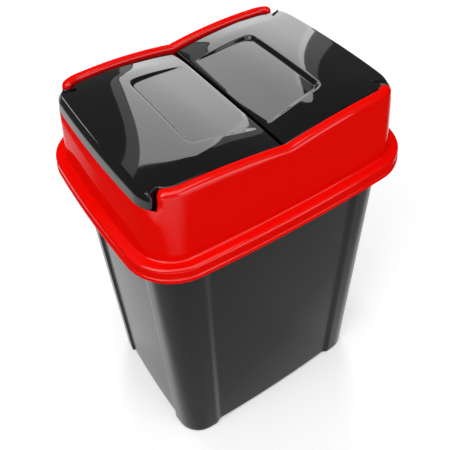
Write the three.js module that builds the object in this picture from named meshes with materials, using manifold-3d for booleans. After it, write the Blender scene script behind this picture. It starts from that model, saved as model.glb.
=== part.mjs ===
// Double recycling bin: a tall body, a red hood with two rocking flaps, and two lift-out buckets inside.
// Millimetres, +Z up. The flaps lie side by side along X; the origin is on the floor under the middle.
import * as THREE from 'three';
import { mergeVertices } from 'three/addons/utils/BufferGeometryUtils.js';
import Module from 'manifold-3d';

const wasm = await Module();
wasm.setup();

// ---- driving dimensions ----

// plan outline of the whole bin: the outer edge of the hood's flange
const binLength = 400;
const binWidth = 317;
const cornerRadius = 66;
const endBow = 8; // how far the short sides bulge
const sideBow = 8.5; // how far the long sides bulge

// body
const bodyHeight = 464; // floor to the top of the lip that carries the hood
const bodyInset = 24.4; // post face to plan outline, under the lip
const bodyDraft = 3; // how much narrower each side is at the floor
const bodyWall = 2.6;
const floorThickness = 3;
const footHeight = 3.5;
const footWidth = 29;
const footRounding = 6;
const lipWidth = 2.5;
const lipDepth = 10;
const postProud = 3.4; // corner post in front of the side panels
const postWidthEnd = 79.5; // bin's side to the post's edge, on a short side
const postWidthSide = 78; // bin's end to the post's edge, on a long side
const endStep = 3; // width of the step from panel to post, short side
const sideStep = 13; // the same on a long side

// hood
const hoodWall = 2.5;
const flangeDepth = 20;
const beadHeight = 6;
const beadProud = 1.5;
const ledgeWidth = 15.5;
const ledgeRounding = 4;
const endWallRise = 70; // ledge to the top of the low end walls
const crestRise = 92; // ledge to the crest of the long walls
const valleyDip = 10; // crest to the valley in the middle of a long wall
const crestSetback = 80; // bin's end to where the crest is reached
const hoodLean = 0.102; // inward lean of the hood walls, mm per mm of height
const ridgeWidth = 13; // width of the rounded top of a long wall
const ridgeRounding = 7; // outside
const ridgeInnerRounding = 4.2;
const wallFillet = 2; // where a wall rises from the ledge
const wallEndSetback = 48; // bin's end to the end of a long wall
const wallEndRounding = 7;
const wallEndStep = 0.5; // width of the step from an end wall up to a long wall
const lipLap = 5; // how far the ridge's inner lip hangs below the flap edge

// flaps
const flapWall = 2.5;
const middleGap = 4.4;
const flapSideGap = 1.8;
const earGap = 5.5; // flap corner to the end of the long wall
const earTuck = 4.5; // how far the middle part runs on into the full-width end
const flapValleyDrop = 12; // flap edge below the ridge in the middle
const flapShoulderDrop = 6; // the same at the shoulder
const shoulderSetback = 70; // bin's end to the shoulder
const flapEndDrop = 2.5; // outer edge of a flap below the crest
const crownInner = 6; // rise of the flap's middle above its side edges, at the gap
const crownOuter = 9; // the same near the shoulder
const crownStrip = 34; // width of the side strip over which the crown falls away
const crownSetback = 92; // bin's end to where the crown begins to fade
const crownFade = 40; // length over which it fades
const flapFlangeHeight = 9; // flap edge at the gap to the bottom of its side flange
const flapEdgeRounding = 5;
const recessSetback = 108; // bin's end to the push recess
const recessMarginInner = 76.5; // bin's side to the recess, at the gap
const recessMarginOuter = 85.5; // the same at its outer end
const recessDepth = 5;
const recessStart = 8;
const recessCorner = 13;

// flap pivots
const pivotSetback = 118; // bin's end to a pivot
const trunnionRadius = 4;
const trunnionLength = 7;
const socketWall = 4.2;
const socketSlack = 0.3;
const socketFace = 1.2; // face of a socket to the flap beside it

// buckets
const bucketDrop = 36; // top of the body to the top of a bucket
const bucketClearance = 0.6; // bucket's lip to the body's wall, where the bowed wall comes nearest
const bucketDraft = 7;
const bucketWall = 2;
const bucketLip = 3.5;
const bucketBaseRounding = 6;
const bucketSpacing = 6; // between the two buckets' lips
const earWidth = 20;
const earThickness = 3;

// bail handles
const wireRadius = 2;
const bailSetback = 7; // bucket's wall to the middle of the grip
const bailBend = 9;
const bailHook = 7; // length of the end that turns in through an ear
const hookBend = 3;
const gripLength = 104;
const gripRadius = 8;

const seatGap = 0.3; // between pieces that rest on or turn in each other
const overrun = 3; // how far a cutting or joining solid runs past what it meets
const roundMiddle = 1 - Math.SQRT1_2; // middle point of a quarter round, as a share of its radius

// ---- sizes worked out from them ----

const halfLength = binLength / 2;
const halfWidth = binWidth / 2;
const postEndReach = halfWidth - postWidthEnd;
const postSideReach = halfLength - postWidthSide;
const crestReach = halfLength - crestSetback;
const wallEndReach = halfLength - wallEndSetback;
const shoulderReach = halfLength - shoulderSetback;
const crownFadeStart = halfLength - crownSetback;
const crownFadeEnd = crownFadeStart + crownFade;
const recessReach = halfLength - recessSetback;
const recessHalfInner = halfWidth - recessMarginInner;
const recessHalfOuter = halfWidth - recessMarginOuter;
const pivotReach = halfLength - pivotSetback;
const hoodSeat = bodyHeight + seatGap;
const ledgeHeight = hoodSeat + hoodWall;
const flangeBottom = ledgeHeight - flangeDepth;
const endWallTop = ledgeHeight + endWallRise;
const crestHeight = ledgeHeight + crestRise;
const ridgeInset = hoodInset(crestHeight) + ridgeWidth;
const flapInset = ridgeInset + flapSideGap;
const flapBottom = crestHeight - valleyDip - flapValleyDrop - flapFlangeHeight;
const pivotHeight = endWallTop - seatGap; // level with the end walls, so a skirt lifts straight off
const bodyFloor = footHeight + floorThickness;
const bucketBase = bodyFloor + seatGap;
const bucketTop = bodyHeight - bucketDrop;
const bucketHeight = bucketTop - bucketBase;
const bodyHollow = bodyInset + postProud + bodyWall; // plan outline to the inner face of a side panel
const bucketRoom = bodyHollow + bucketClearance + bucketLip;
const bucketEnd = halfLength - bucketRoom - endBow; // middle to outer side, without its lip
const bucketLength = bucketEnd - bucketSpacing / 2 - bucketLip;
const bucketWidth = binWidth - 2 * (bucketRoom + sideBow);
const bucketCorner = cornerRadius - bodyHollow;
const bucketMiddle = (bucketSpacing + bucketLength) / 2 + bucketLip;
const bailReach = bucketLength / 2 - bailSetback;
const bailHeight = bucketTop + gripRadius + seatGap;
const earFace = bucketWidth / 2 - bucketWall + earThickness;
const armY = earFace + wireRadius + seatGap;

// ---- solids ----

// turns a closed geometry into a solid with its faces pointing out
function solid(geometry) {
  const bare = geometry.index ? geometry.clone() : geometry;
  bare.deleteAttribute('normal');
  bare.deleteAttribute('uv');
  const merged = mergeVertices(bare, 1e-4);
  const position = merged.attributes.position;
  const index = merged.index.array;
  const triangles = [];
  let volume = 0;
  const [a, b, c] = [new THREE.Vector3(), new THREE.Vector3(), new THREE.Vector3()];
  for (let i = 0; i < index.length; i += 3) {
    const [p, q, r] = [index[i], index[i + 1], index[i + 2]];
    if (p === q || q === r || r === p) continue;
    triangles.push(p, q, r);
    a.fromBufferAttribute(position, p);
    b.fromBufferAttribute(position, q);
    c.fromBufferAttribute(position, r);
    volume += a.dot(b.cross(c));
  }
  if (volume < 0) triangles.reverse();
  const vertProperties = new Float32Array(position.array);
  const triVerts = new Uint32Array(triangles);
  return new wasm.Manifold(new wasm.Mesh({ numProp: 3, vertProperties, triVerts }));
}

function geometryOf(body) {
  const mesh = body.getMesh();
  const geometry = new THREE.BufferGeometry();
  const position = new Float32Array(mesh.vertProperties);
  geometry.setAttribute('position', new THREE.BufferAttribute(position, 3));
  geometry.setIndex(new THREE.BufferAttribute(new Uint32Array(mesh.triVerts), 1));
  geometry.computeVertexNormals();
  return geometry;
}

// skin through loops of equally many points; a ring joins its last loop to its first, others are capped
function loft(loops, ring = false) {
  const count = loops[0].length;
  const positions = loops.flat().flatMap((point) => [point.x, point.y, point.z]);
  const index = [];
  const spans = ring ? loops.length : loops.length - 1;
  for (let i = 0; i < spans; i++) {
    const next = (i + 1) % loops.length;
    for (let j = 0; j < count; j++) {
      const along = (j + 1) % count;
      const [a, b] = [i * count + j, i * count + along];
      const [c, d] = [next * count + j, next * count + along];
      index.push(a, b, d, a, d, c);
    }
  }
  if (!ring) {
    const first = cap(loops[0]);
    const last = cap(loops[loops.length - 1]);
    const start = (loops.length - 1) * count;
    for (const [p, q, r] of first) index.push(p, r, q);
    for (const [p, q, r] of last) index.push(start + p, start + q, start + r);
  }
  const geometry = new THREE.BufferGeometry();
  geometry.setAttribute('position', new THREE.Float32BufferAttribute(positions, 3));
  geometry.setIndex(index);
  return solid(geometry);
}

// triangles over a level loop, wound as the loop is
function cap(loop) {
  const flat = loop.map((point) => new THREE.Vector2(point.x, point.y));
  const faces = THREE.ShapeUtils.triangulateShape(flat, []);
  const wound = faces.reduce((sum, face) => sum + THREE.ShapeUtils.area(face.map((i) => flat[i])), 0);
  const agrees = wound > 0 === THREE.ShapeUtils.area(flat) > 0;
  return faces.map(([p, q, r]) => (agrees ? [p, q, r] : [p, r, q]));
}

// cylinder along Y from y0 to y1
function rodAlongY(radius, x, z, y0, y1, sides = 24) {
  const geometry = new THREE.CylinderGeometry(radius, radius, Math.abs(y1 - y0), sides);
  geometry.translate(x, (y0 + y1) / 2, z);
  return solid(geometry);
}

function mirrorX(body) {
  const geometry = geometryOf(body);
  geometry.scale(-1, 1, 1);
  return solid(geometry);
}

function smooth(value, start, end) {
  return THREE.MathUtils.smoothstep(value, start, end);
}

// ---- the plan outline and its parallel insets ----

// bowed rectangle: two big arcs for the sides, joined by the corner arc that touches both
const plan = (() => {
  const [a, b] = [halfLength, halfWidth];
  const endRadius = (b * b + endBow * endBow) / (2 * endBow);
  const sideRadius = (a * a + sideBow * sideBow) / (2 * sideBow);
  const endCentre = new THREE.Vector2(a - endRadius, 0);
  const sideCentre = new THREE.Vector2(0, b - sideRadius);
  const toEnd = endRadius - cornerRadius;
  const toSide = sideRadius - cornerRadius;
  const span = endCentre.clone().sub(sideCentre);
  const length = span.length();
  const along = (toSide * toSide - toEnd * toEnd + length * length) / (2 * length);
  const across = Math.sqrt(Math.max(toSide * toSide - along * along, 0));
  const unit = span.normalize();
  const cornerCentre = sideCentre.clone().addScaledVector(unit, along);
  cornerCentre.add(new THREE.Vector2(unit.y, -unit.x).multiplyScalar(across));
  const endAngle = cornerCentre.clone().sub(endCentre).angle();
  const sideAngle = cornerCentre.clone().sub(sideCentre).angle();
  return { endRadius, sideRadius, endCentre, sideCentre, cornerCentre, endAngle, sideAngle };
})();

// a column is a place on the outline: its angle is 0 in the middle of the end, 90 in that of the side
function planPoint({ angle, sx, sy }, inset) {
  let [centre, radius] = [plan.cornerCentre, cornerRadius];
  if (angle < plan.endAngle) [centre, radius] = [plan.endCentre, plan.endRadius];
  if (angle > plan.sideAngle) [centre, radius] = [plan.sideCentre, plan.sideRadius];
  const x = centre.x + (radius - inset) * Math.cos(angle);
  const y = centre.y + (radius - inset) * Math.sin(angle);
  return new THREE.Vector2(sx * x, sy * y);
}

function atInset(column, inset, z) {
  const point = planPoint(column, inset);
  return new THREE.Vector3(point.x, point.y, z);
}

// y of the long side at x, moved in by inset
function sideY(x, inset) {
  const radius = plan.sideRadius - inset;
  return plan.sideCentre.y + Math.sqrt(radius * radius - x * x);
}

function spread(start, end, steps) {
  return Array.from({ length: steps }, (unused, i) => start + ((end - start) * i) / steps);
}

// angle on the end arc at a given y, and on the side arc at a given x, for a given inset
const endAngleAt = (y, inset) => Math.asin(y / (plan.endRadius - inset));
const sideAngleAt = (x, inset) => Math.acos(x / (plan.sideRadius - inset));

// all round from one quarter's angles, which run from 0 to 90 degrees
function allRound(angles) {
  const back = [...angles].reverse();
  const quarter = (list, sx, sy) => list.map((angle) => ({ angle, sx, sy }));
  return [
    ...quarter(angles, 1, 1).slice(0, -1),
    ...quarter(back, -1, 1).slice(0, -1),
    ...quarter(angles, -1, -1).slice(0, -1),
    ...quarter(back, 1, -1).slice(0, -1),
  ];
}

// ---- body ----

function bodyAngles() {
  const panelEnd = endAngleAt(postEndReach - endStep, bodyInset);
  const postEnd = endAngleAt(postEndReach, bodyInset);
  const postSide = sideAngleAt(postSideReach, bodyInset);
  const panelSide = sideAngleAt(postSideReach - sideStep, bodyInset);
  return [
    ...spread(0, panelEnd, 3),
    ...spread(panelEnd, postEnd, 2),
    ...spread(postEnd, plan.endAngle, 1),
    ...spread(plan.endAngle, plan.sideAngle, 8),
    ...spread(plan.sideAngle, postSide, 1),
    ...spread(postSide, panelSide, 4),
    ...spread(panelSide, Math.PI / 2, 4),
    Math.PI / 2,
  ];
}

// 1 on a corner post, 0 on a side panel
function postShare(column) {
  const point = planPoint({ ...column, sx: 1, sy: 1 }, bodyInset);
  if (column.angle < plan.endAngle) return smooth(point.y, postEndReach - endStep, postEndReach);
  if (column.angle > plan.sideAngle) return smooth(point.x, postSideReach - sideStep, postSideReach);
  return 1;
}

function makeBody() {
  const columns = allRound(bodyAngles());
  const lipInset = beadProud + hoodWall + seatGap;
  const neckHeight = bodyHeight - lipDepth - bodyWall;
  const skin = (z) => bodyInset + bodyDraft * (1 - z / neckHeight);
  // one loop all round; posted is the share of the posts' relief, lift raises it between the feet
  const loop = (inset, z, posted = 1, lift = 0) => columns.map((column) => {
    const panel = 1 - postShare(column);
    return atInset(column, inset + postProud * panel * posted, z + lift * panel);
  });
  const baseInset = skin(0);
  return loft([
    loop(baseInset + footRounding + footWidth + footHeight / 2, footHeight, 0),
    loop(baseInset + footRounding + footWidth, 0, 0, footHeight),
    loop(baseInset + footRounding, 0, 1, footHeight),
    loop(baseInset + footRounding * roundMiddle, footRounding * roundMiddle, 1, footHeight),
    loop(skin(footRounding), footRounding, 1, footHeight),
    loop(skin(neckHeight / 2), neckHeight / 2),
    loop(skin(neckHeight), neckHeight),
    loop(skin(neckHeight), bodyHeight - lipWidth, 0),
    loop(lipInset + lipWidth, bodyHeight - lipWidth, 0),
    loop(lipInset + lipWidth, bodyHeight - lipDepth, 0),
    loop(lipInset, bodyHeight - lipDepth, 0),
    loop(lipInset, bodyHeight - lipWidth / 2, 0),
    loop(lipInset + lipWidth / 2, bodyHeight, 0),
    loop(bodyInset + bodyWall - lipWidth / 2, bodyHeight, 0),
    loop(bodyInset + bodyWall, bodyHeight - lipWidth / 2, 0),
    loop(skin(neckHeight) + bodyWall, neckHeight),
    loop(skin(bodyFloor + footRounding) + bodyWall, bodyFloor + footRounding),
    loop(skin(bodyFloor) + bodyWall + footRounding / 2, bodyFloor),
  ]);
}

// ---- hood ----

function hoodInset(z) {
  return ledgeWidth + (z - ledgeHeight) * hoodLean;
}

// height of the long walls' ridge at x: low in the middle, with a crease there
function crestAt(x) {
  const share = Math.min(Math.abs(x) / crestReach, 1);
  return crestHeight - valleyDip * (1 - share) * (1 - share);
}

const wallTopRadius = cornerRadius - hoodInset(crestHeight);
const wallEndAngle = Math.acos((wallEndReach - plan.cornerCentre.x) / wallTopRadius);

function hoodAngles() {
  const stations = [-wallEndStep, ...spread(wallEndStep, wallEndRounding, 3), wallEndRounding];
  const nearEnd = stations.map((distance) => wallEndAngle + distance / wallTopRadius);
  return [
    ...spread(0, plan.endAngle, 3),
    ...spread(plan.endAngle, nearEnd[0], 5),
    ...nearEnd.slice(0, -1),
    ...spread(nearEnd[nearEnd.length - 1], plan.sideAngle, 2),
    ...spread(plan.sideAngle, Math.PI / 2, 6),
    Math.PI / 2,
  ];
}

// arc in a section, whose points are [inset, height]; degrees, 0 is inwards and 90 is up
function arc(inset, z, radius, from, to, steps) {
  return Array.from({ length: steps + 1 }, (unused, i) => {
    const angle = THREE.MathUtils.degToRad(from + ((to - from) * i) / steps);
    return [inset + radius * Math.cos(angle), z + radius * Math.sin(angle)];
  });
}

// top of a long wall: rounded over, with a lip inside that hides the flap's edge
function ridgeLoop(top, lipBottom) {
  const outer = [hoodInset(top - ridgeRounding) + ridgeRounding, top - ridgeRounding];
  const inner = [ridgeInset - ridgeInnerRounding, top - ridgeInnerRounding];
  return [
    ...arc(...outer, ridgeRounding, 180, 90, 3),
    ...arc(...inner, ridgeInnerRounding, 90, 0, 2),
    [ridgeInset, lipBottom],
    [ridgeInset - hoodWall, lipBottom],
    ...arc(...inner, Math.max(ridgeInnerRounding - hoodWall, 0), 0, 90, 1),
    ...arc(...outer, Math.max(ridgeRounding - hoodWall, 0), 90, 180, 1),
  ];
}

// the same number of points round the plain top edge of an end wall
function plainLoop(top) {
  const half = hoodWall / 2;
  const count = ridgeLoop(top, top).length;
  return arc(hoodInset(top) + half, top - half, half, 180, 0, count - 1);
}

function makeHood() {
  const faceInset = beadProud;
  const loops = allRound(hoodAngles()).map((column) => {
    const distance = (column.angle - wallEndAngle) * wallTopRadius;
    const place = planPoint({ ...column, sx: 1, sy: 1 }, ridgeInset);
    let edge = plainLoop(endWallTop);
    if (distance > 0) {
      const short = Math.max(wallEndRounding - distance, 0);
      const dip = wallEndRounding - Math.sqrt(wallEndRounding ** 2 - short ** 2);
      edge = ridgeLoop(crestAt(place.x) - dip, flapEdge(place.x) - lipLap);
    }
    const section = [
      [0, flangeBottom],
      [0, flangeBottom + beadHeight - beadProud],
      [faceInset, flangeBottom + beadHeight],
      [faceInset, ledgeHeight - ledgeRounding],
      [faceInset + roundMiddle * ledgeRounding, ledgeHeight - roundMiddle * ledgeRounding],
      [faceInset + ledgeRounding, ledgeHeight],
      [ledgeWidth - wallFillet, ledgeHeight],
      [hoodInset(ledgeHeight + wallFillet), ledgeHeight + wallFillet],
      ...edge,
      [hoodInset(ledgeHeight + wallFillet / 2) + hoodWall, ledgeHeight + wallFillet / 2],
      [ledgeWidth + hoodWall - wallFillet, hoodSeat],
      [faceInset + hoodWall, hoodSeat],
      [faceInset + hoodWall, flangeBottom],
    ];
    return section.map(([inset, z]) => atInset(column, inset, z));
  });
  let hood = loft(loops, true);
  for (const sx of [1, -1]) {
    for (const sy of [1, -1]) {
      const wallY = sideY(pivotReach, hoodInset(pivotHeight) + hoodWall / 2);
      const faceY = sideY(pivotReach, flapInset - socketFace);
      const bottomY = faceY + trunnionLength + seatGap;
      const bore = trunnionRadius + socketSlack;
      const boss = rodAlongY(bore + socketWall, sx * pivotReach, pivotHeight, sy * faceY, sy * wallY);
      const hole = rodAlongY(bore, sx * pivotReach, pivotHeight, sy * (faceY - overrun), sy * bottomY);
      hood = hood.add(boss).subtract(hole);
    }
  }
  return hood;
}

// ---- flaps ----

// height of a flap's side edge at x
function flapEdge(x) {
  const share = Math.min(Math.abs(x) / shoulderReach, 1);
  const valley = crestHeight - valleyDip - flapValleyDrop;
  const shoulder = crestHeight - flapShoulderDrop;
  return shoulder - (shoulder - valley) * (1 - share) * (1 - share);
}

// height of a flap's top surface
function flapTop(x, y) {
  const rise = smooth(x, crownFadeEnd, halfLength - hoodInset(crestHeight));
  const base = flapEdge(x) + (flapShoulderDrop - flapEndDrop) * rise;
  const side = sideY(Math.min(x, wallEndReach), flapInset);
  const crown = THREE.MathUtils.lerp(crownInner, crownOuter, Math.min(x / shoulderReach, 1));
  const across = 1 - smooth(Math.abs(y), side - crownStrip, side);
  const fade = 1 - smooth(x, crownFadeStart, crownFadeEnd);
  return base + crown * across * fade;
}

// block under (or over) a flap's top surface moved down by drop(x)
function surfaceBlock(drop, over = false) {
  const [x0, x1] = [middleGap / 2 - overrun, halfLength];
  const [stepsAlong, stepsAcross] = [18, 22];
  const far = over ? crestHeight + crestRise : flapBottom - crestRise;
  const geometry = new THREE.BoxGeometry(x1 - x0, binWidth, 1, stepsAlong, stepsAcross, 1);
  geometry.translate((x0 + x1) / 2, 0, 0);
  const position = geometry.attributes.position;
  for (let i = 0; i < position.count; i++) {
    const [x, y, z] = [position.getX(i), position.getY(i), position.getZ(i)];
    const onSurface = over ? z < 0 : z > 0;
    position.setZ(i, onSurface ? flapTop(Math.max(x, 0), y) - drop(x) : far);
  }
  return solid(geometry);
}

function prism(points, z0, z1) {
  const options = { depth: z1 - z0, bevelEnabled: false };
  const geometry = new THREE.ExtrudeGeometry(new THREE.Shape(points), options);
  geometry.translate(0, 0, z0);
  return solid(geometry);
}

// outline of one side of the part between the long walls, from the ear to the middle gap;
// the hollow's is moved in by the wall, and runs on further under the ear
function flapSide(wall, sy) {
  const inset = flapInset + wall;
  const tuck = wall > 0 ? earTuck + 2 * overrun : earTuck;
  const angles = [
    ...spread(earAngle(wall) - tuck / wallTopRadius, plan.sideAngle, 4),
    ...spread(plan.sideAngle, sideAngleAt(middleGap / 2 + wall, inset), 8),
    sideAngleAt(middleGap / 2 + wall, inset),
  ];
  return angles.map((angle) => planPoint({ angle, sx: 1, sy }, inset));
}

function innerPlan(wall) {
  return [...flapSide(wall, -1), ...flapSide(wall, 1).reverse()];
}

// where the flap widens to the full width of the hood, clear of the long wall's end
function earAngle(wall) {
  return wallEndAngle - (earGap + wall) / wallTopRadius;
}

// the full-width outer end, as loops that lean with the hood; moved in by wall
function endBlock(wall, bottom) {
  const ear = earAngle(wall);
  const angles = [...spread(0, plan.endAngle, 4), ...spread(plan.endAngle, ear, 6), ear];
  const columns = [
    ...[...angles].reverse().map((angle) => ({ angle, sx: 1, sy: -1 })),
    ...angles.slice(1).map((angle) => ({ angle, sx: 1, sy: 1 })),
  ];
  const inner = planPoint(columns[0], flapInset + wall + overrun);
  const top = crestHeight - flapEndDrop;
  const edge = flapEdgeRounding;
  const levels = [
    [0, bottom],
    ...arc(edge, top - edge, edge, 180, 90, 2),
    [edge, top + overrun],
  ];
  return loft(levels.map(([inset, z]) => [
    ...columns.map((column) => atInset(column, hoodInset(Math.min(z, top)) + wall + inset, z)),
    new THREE.Vector3(inner.x, -inner.y, z),
    new THREE.Vector3(inner.x, inner.y, z),
  ]));
}

// rounded panel, open at the gap; moved out by grow
function recessPlan(grow) {
  const inner = new THREE.Vector2(middleGap / 2 - overrun, recessHalfInner + grow);
  const outer = new THREE.Vector2(recessReach + grow, recessHalfOuter + grow);
  const shape = new THREE.Shape();
  const run = outer.clone().sub(inner).normalize();
  const start = outer.clone().addScaledVector(run, -recessCorner);
  shape.moveTo(inner.x, -inner.y);
  shape.lineTo(start.x, -start.y);
  shape.quadraticCurveTo(outer.x, -outer.y, outer.x, recessCorner - outer.y);
  shape.lineTo(outer.x, outer.y - recessCorner);
  shape.quadraticCurveTo(outer.x, outer.y, start.x, start.y);
  shape.lineTo(inner.x, inner.y);
  const cornerSteps = 6;
  return shape.getPoints(cornerSteps);
}

function makeFlap() {
  const high = crestHeight + crownOuter + overrun;
  const skirtBottom = endWallTop + seatGap;
  const floorDrop = (x) => (recessDepth * (x - recessStart)) / (recessReach - recessStart);
  const outside = prism(innerPlan(0), flapBottom, high).add(endBlock(0, skirtBottom));
  const inside = prism(innerPlan(flapWall), flapBottom - overrun, high)
    .add(endBlock(flapWall, skirtBottom - overrun));
  const recess = prism(recessPlan(0), flapBottom, high).intersect(surfaceBlock(floorDrop, true));
  const under = prism(recessPlan(flapWall), flapBottom, high)
    .intersect(surfaceBlock((x) => floorDrop(x) + flapWall, true));
  const shell = outside.intersect(surfaceBlock(() => 0)).subtract(recess);
  const hollow = inside.intersect(surfaceBlock(() => flapWall)).subtract(under);
  let flap = shell.subtract(hollow);
  for (const sy of [1, -1]) {
    const root = sideY(pivotReach, flapInset + flapWall / 2);
    const tip = sideY(pivotReach, flapInset - socketFace) + trunnionLength;
    flap = flap.add(rodAlongY(trunnionRadius, pivotReach, pivotHeight, sy * root, sy * tip));
  }
  return flap;
}

// ---- buckets ----

// rounded rectangle with its corners in loops of equally many points
function roundedLoop(cx, halfX, halfY, radius, z) {
  const steps = 6;
  const corners = [[1, 1, 0], [-1, 1, 1], [-1, -1, 2], [1, -1, 3]];
  return corners.flatMap(([sx, sy, quarter]) => Array.from({ length: steps + 1 }, (unused, i) => {
    const angle = ((quarter + i / steps) * Math.PI) / 2;
    const x = cx + sx * (halfX - radius) + radius * Math.cos(angle);
    const y = sy * (halfY - radius) + radius * Math.sin(angle);
    return new THREE.Vector3(x, y, z);
  }));
}

function makeBucket() {
  const loop = (grow, z) => {
    const draft = bucketDraft * (1 - (z - bucketBase) / bucketHeight);
    const size = grow - draft;
    const [halfX, halfY] = [bucketLength / 2 + size, bucketWidth / 2 + size];
    return roundedLoop(bucketMiddle, halfX, halfY, bucketCorner + size, z);
  };
  const edge = bucketBaseRounding;
  let bucket = loft([
    loop(-edge, bucketBase),
    loop(-roundMiddle * edge, bucketBase + roundMiddle * edge),
    loop(0, bucketBase + edge),
    loop(0, bucketTop - bucketWall),
    loop(bucketLip, bucketTop - bucketWall),
    loop(bucketLip, bucketTop),
    loop(-bucketWall, bucketTop),
    loop(-bucketWall, bucketBase + bucketWall + edge),
    loop(-bucketWall - edge, bucketBase + bucketWall),
  ]);
  // upright ears that carry the bail
  const holeRadius = wireRadius + seatGap;
  const rise = bailHeight + earWidth / 2 - bucketTop;
  for (const sy of [1, -1]) {
    const shape = new THREE.Shape();
    shape.moveTo(-earWidth / 2, -bucketWall / 2);
    shape.lineTo(earWidth / 2, -bucketWall / 2);
    shape.lineTo(earWidth / 2, rise - earWidth / 2);
    shape.absarc(0, rise - earWidth / 2, earWidth / 2, 0, Math.PI, false);
    const hole = new THREE.Path();
    hole.absarc(0, rise - earWidth / 2, holeRadius, 0, Math.PI * 2, true);
    shape.holes.push(hole);
    const options = { depth: earThickness, bevelEnabled: false, curveSegments: 16 };
    const ear = new THREE.ExtrudeGeometry(shape, options);
    ear.rotateX(Math.PI / 2);
    ear.translate(bucketMiddle, sy > 0 ? earFace : earThickness - earFace, bucketTop);
    bucket = bucket.add(solid(ear));
  }
  return bucket;
}

// ---- bail handles ----

// wire from hook to hook: in through an ear, out along the rim, across under the grip, and back
function makeWire() {
  const hookY = armY - bailHook - wireRadius;
  const x0 = bucketMiddle;
  const x1 = bucketMiddle + bailReach;
  const bend = hookBend;
  const z = bailHeight;
  const path = new THREE.CurvePath();
  const line = (ax, ay, bx, by) => {
    path.add(new THREE.LineCurve3(new THREE.Vector3(ax, ay, z), new THREE.Vector3(bx, by, z)));
  };
  const turn = (ax, ay, mx, my, bx, by) => {
    const points = [[ax, ay], [mx, my], [bx, by]].map(([x, y]) => new THREE.Vector3(x, y, z));
    path.add(new THREE.QuadraticBezierCurve3(...points));
  };
  line(x0, -hookY, x0, bend - armY);
  turn(x0, bend - armY, x0, -armY, x0 + bend, -armY);
  line(x0 + bend, -armY, x1 - bailBend, -armY);
  turn(x1 - bailBend, -armY, x1, -armY, x1, bailBend - armY);
  line(x1, bailBend - armY, x1, armY - bailBend);
  turn(x1, armY - bailBend, x1, armY, x1 - bailBend, armY);
  line(x1 - bailBend, armY, x0 + bend, armY);
  turn(x0 + bend, armY, x0, armY, x0, armY - bend);
  line(x0, armY - bend, x0, hookY);
  const sides = 10;
  const section = spread(0, 2 * Math.PI, sides).map((angle) => (
    new THREE.Vector2(wireRadius * Math.cos(angle), wireRadius * Math.sin(angle))
  ));
  return sweep(section, path, z);
}

// sweeps a section along a level path, with a loop at each end of a straight and several in a bend
function sweep(points, path, z) {
  const loops = [];
  for (const [k, curve] of path.curves.entries()) {
    const steps = curve.isQuadraticBezierCurve3 ? 5 : 1;
    for (let i = k === 0 ? 0 : 1; i <= steps; i++) {
      const place = curve.getPoint(i / steps);
      const tangent = curve.getTangent(i / steps);
      const across = new THREE.Vector3(-tangent.y, tangent.x, 0).normalize();
      loops.push(points.map((p) => across.clone().multiplyScalar(p.x).add(place).setZ(z + p.y)));
    }
  }
  return loftUpright(loops);
}

// a loft whose end loops stand upright, across Y
function loftUpright(loops) {
  const turned = (point) => new THREE.Vector3(point.x, point.z, -point.y);
  const geometry = geometryOf(loft(loops.map((loop) => loop.map(turned))));
  geometry.rotateX(-Math.PI / 2);
  geometry.rotateX(Math.PI);
  return solid(geometry);
}

function makeGrip() {
  const x = bucketMiddle + bailReach;
  const outer = rodAlongY(gripRadius, x, bailHeight, -gripLength / 2, gripLength / 2, 20);
  const bore = rodAlongY(wireRadius + seatGap, x, bailHeight, -gripLength, gripLength, 16);
  return outer.subtract(bore);
}

// ---- the scene ----

const finishes = {
  charcoal: { color: 0x3d3d3e, roughness: 0.42, metalness: 0 },
  red: { color: 0xe00b04, roughness: 0.14, metalness: 0 },
  black: { color: 0x0d0d0f, roughness: 0.08, metalness: 0 },
  grey: { color: 0x6a6c6e, roughness: 0.5, metalness: 0 },
  steel: { color: 0xb8bbbe, roughness: 0.3, metalness: 1 },
};

const group = new THREE.Group();

function place(name, body, finish) {
  const mesh = new THREE.Mesh(geometryOf(body), new THREE.MeshStandardMaterial(finishes[finish]));
  mesh.name = name;
  group.add(mesh);
}

place('bin_body', makeBody(), 'charcoal');
place('hood', makeHood(), 'red');
const pieces = [
  ['flap', makeFlap(), 'black'],
  ['bucket', makeBucket(), 'grey'],
  ['bail', makeWire(), 'steel'],
  ['grip', makeGrip(), 'black'],
];
for (const [name, body, finish] of pieces) {
  place(`${name}_right`, body, finish);
  place(`${name}_left`, mirrorX(body), finish);
}

export default group;
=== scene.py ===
# Double recycling bin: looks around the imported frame. Metres, +Z up, the photographed long side faces -Y.
import math
import bpy
import bmesh
from mathutils import Matrix, Quaternion, Vector
from mathutils.kdtree import KDTree


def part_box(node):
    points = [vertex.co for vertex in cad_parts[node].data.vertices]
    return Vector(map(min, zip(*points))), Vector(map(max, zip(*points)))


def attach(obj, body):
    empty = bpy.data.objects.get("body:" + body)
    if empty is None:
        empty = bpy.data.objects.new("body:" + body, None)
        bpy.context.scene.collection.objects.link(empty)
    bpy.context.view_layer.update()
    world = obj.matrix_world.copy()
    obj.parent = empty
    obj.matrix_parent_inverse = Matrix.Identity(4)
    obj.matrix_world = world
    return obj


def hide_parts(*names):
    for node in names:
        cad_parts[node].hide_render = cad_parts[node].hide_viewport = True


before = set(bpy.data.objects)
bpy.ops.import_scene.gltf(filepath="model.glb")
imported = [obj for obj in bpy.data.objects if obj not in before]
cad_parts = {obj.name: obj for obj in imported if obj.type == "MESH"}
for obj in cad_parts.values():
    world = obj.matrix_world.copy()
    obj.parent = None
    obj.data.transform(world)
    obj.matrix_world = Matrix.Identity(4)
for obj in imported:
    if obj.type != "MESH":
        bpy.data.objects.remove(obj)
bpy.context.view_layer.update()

bpy.ops.object.select_all(action="DESELECT")
mm = 0.001
touch = 0.02 * mm  # places nearer than this are one
tight = 0.01 * mm

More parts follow.
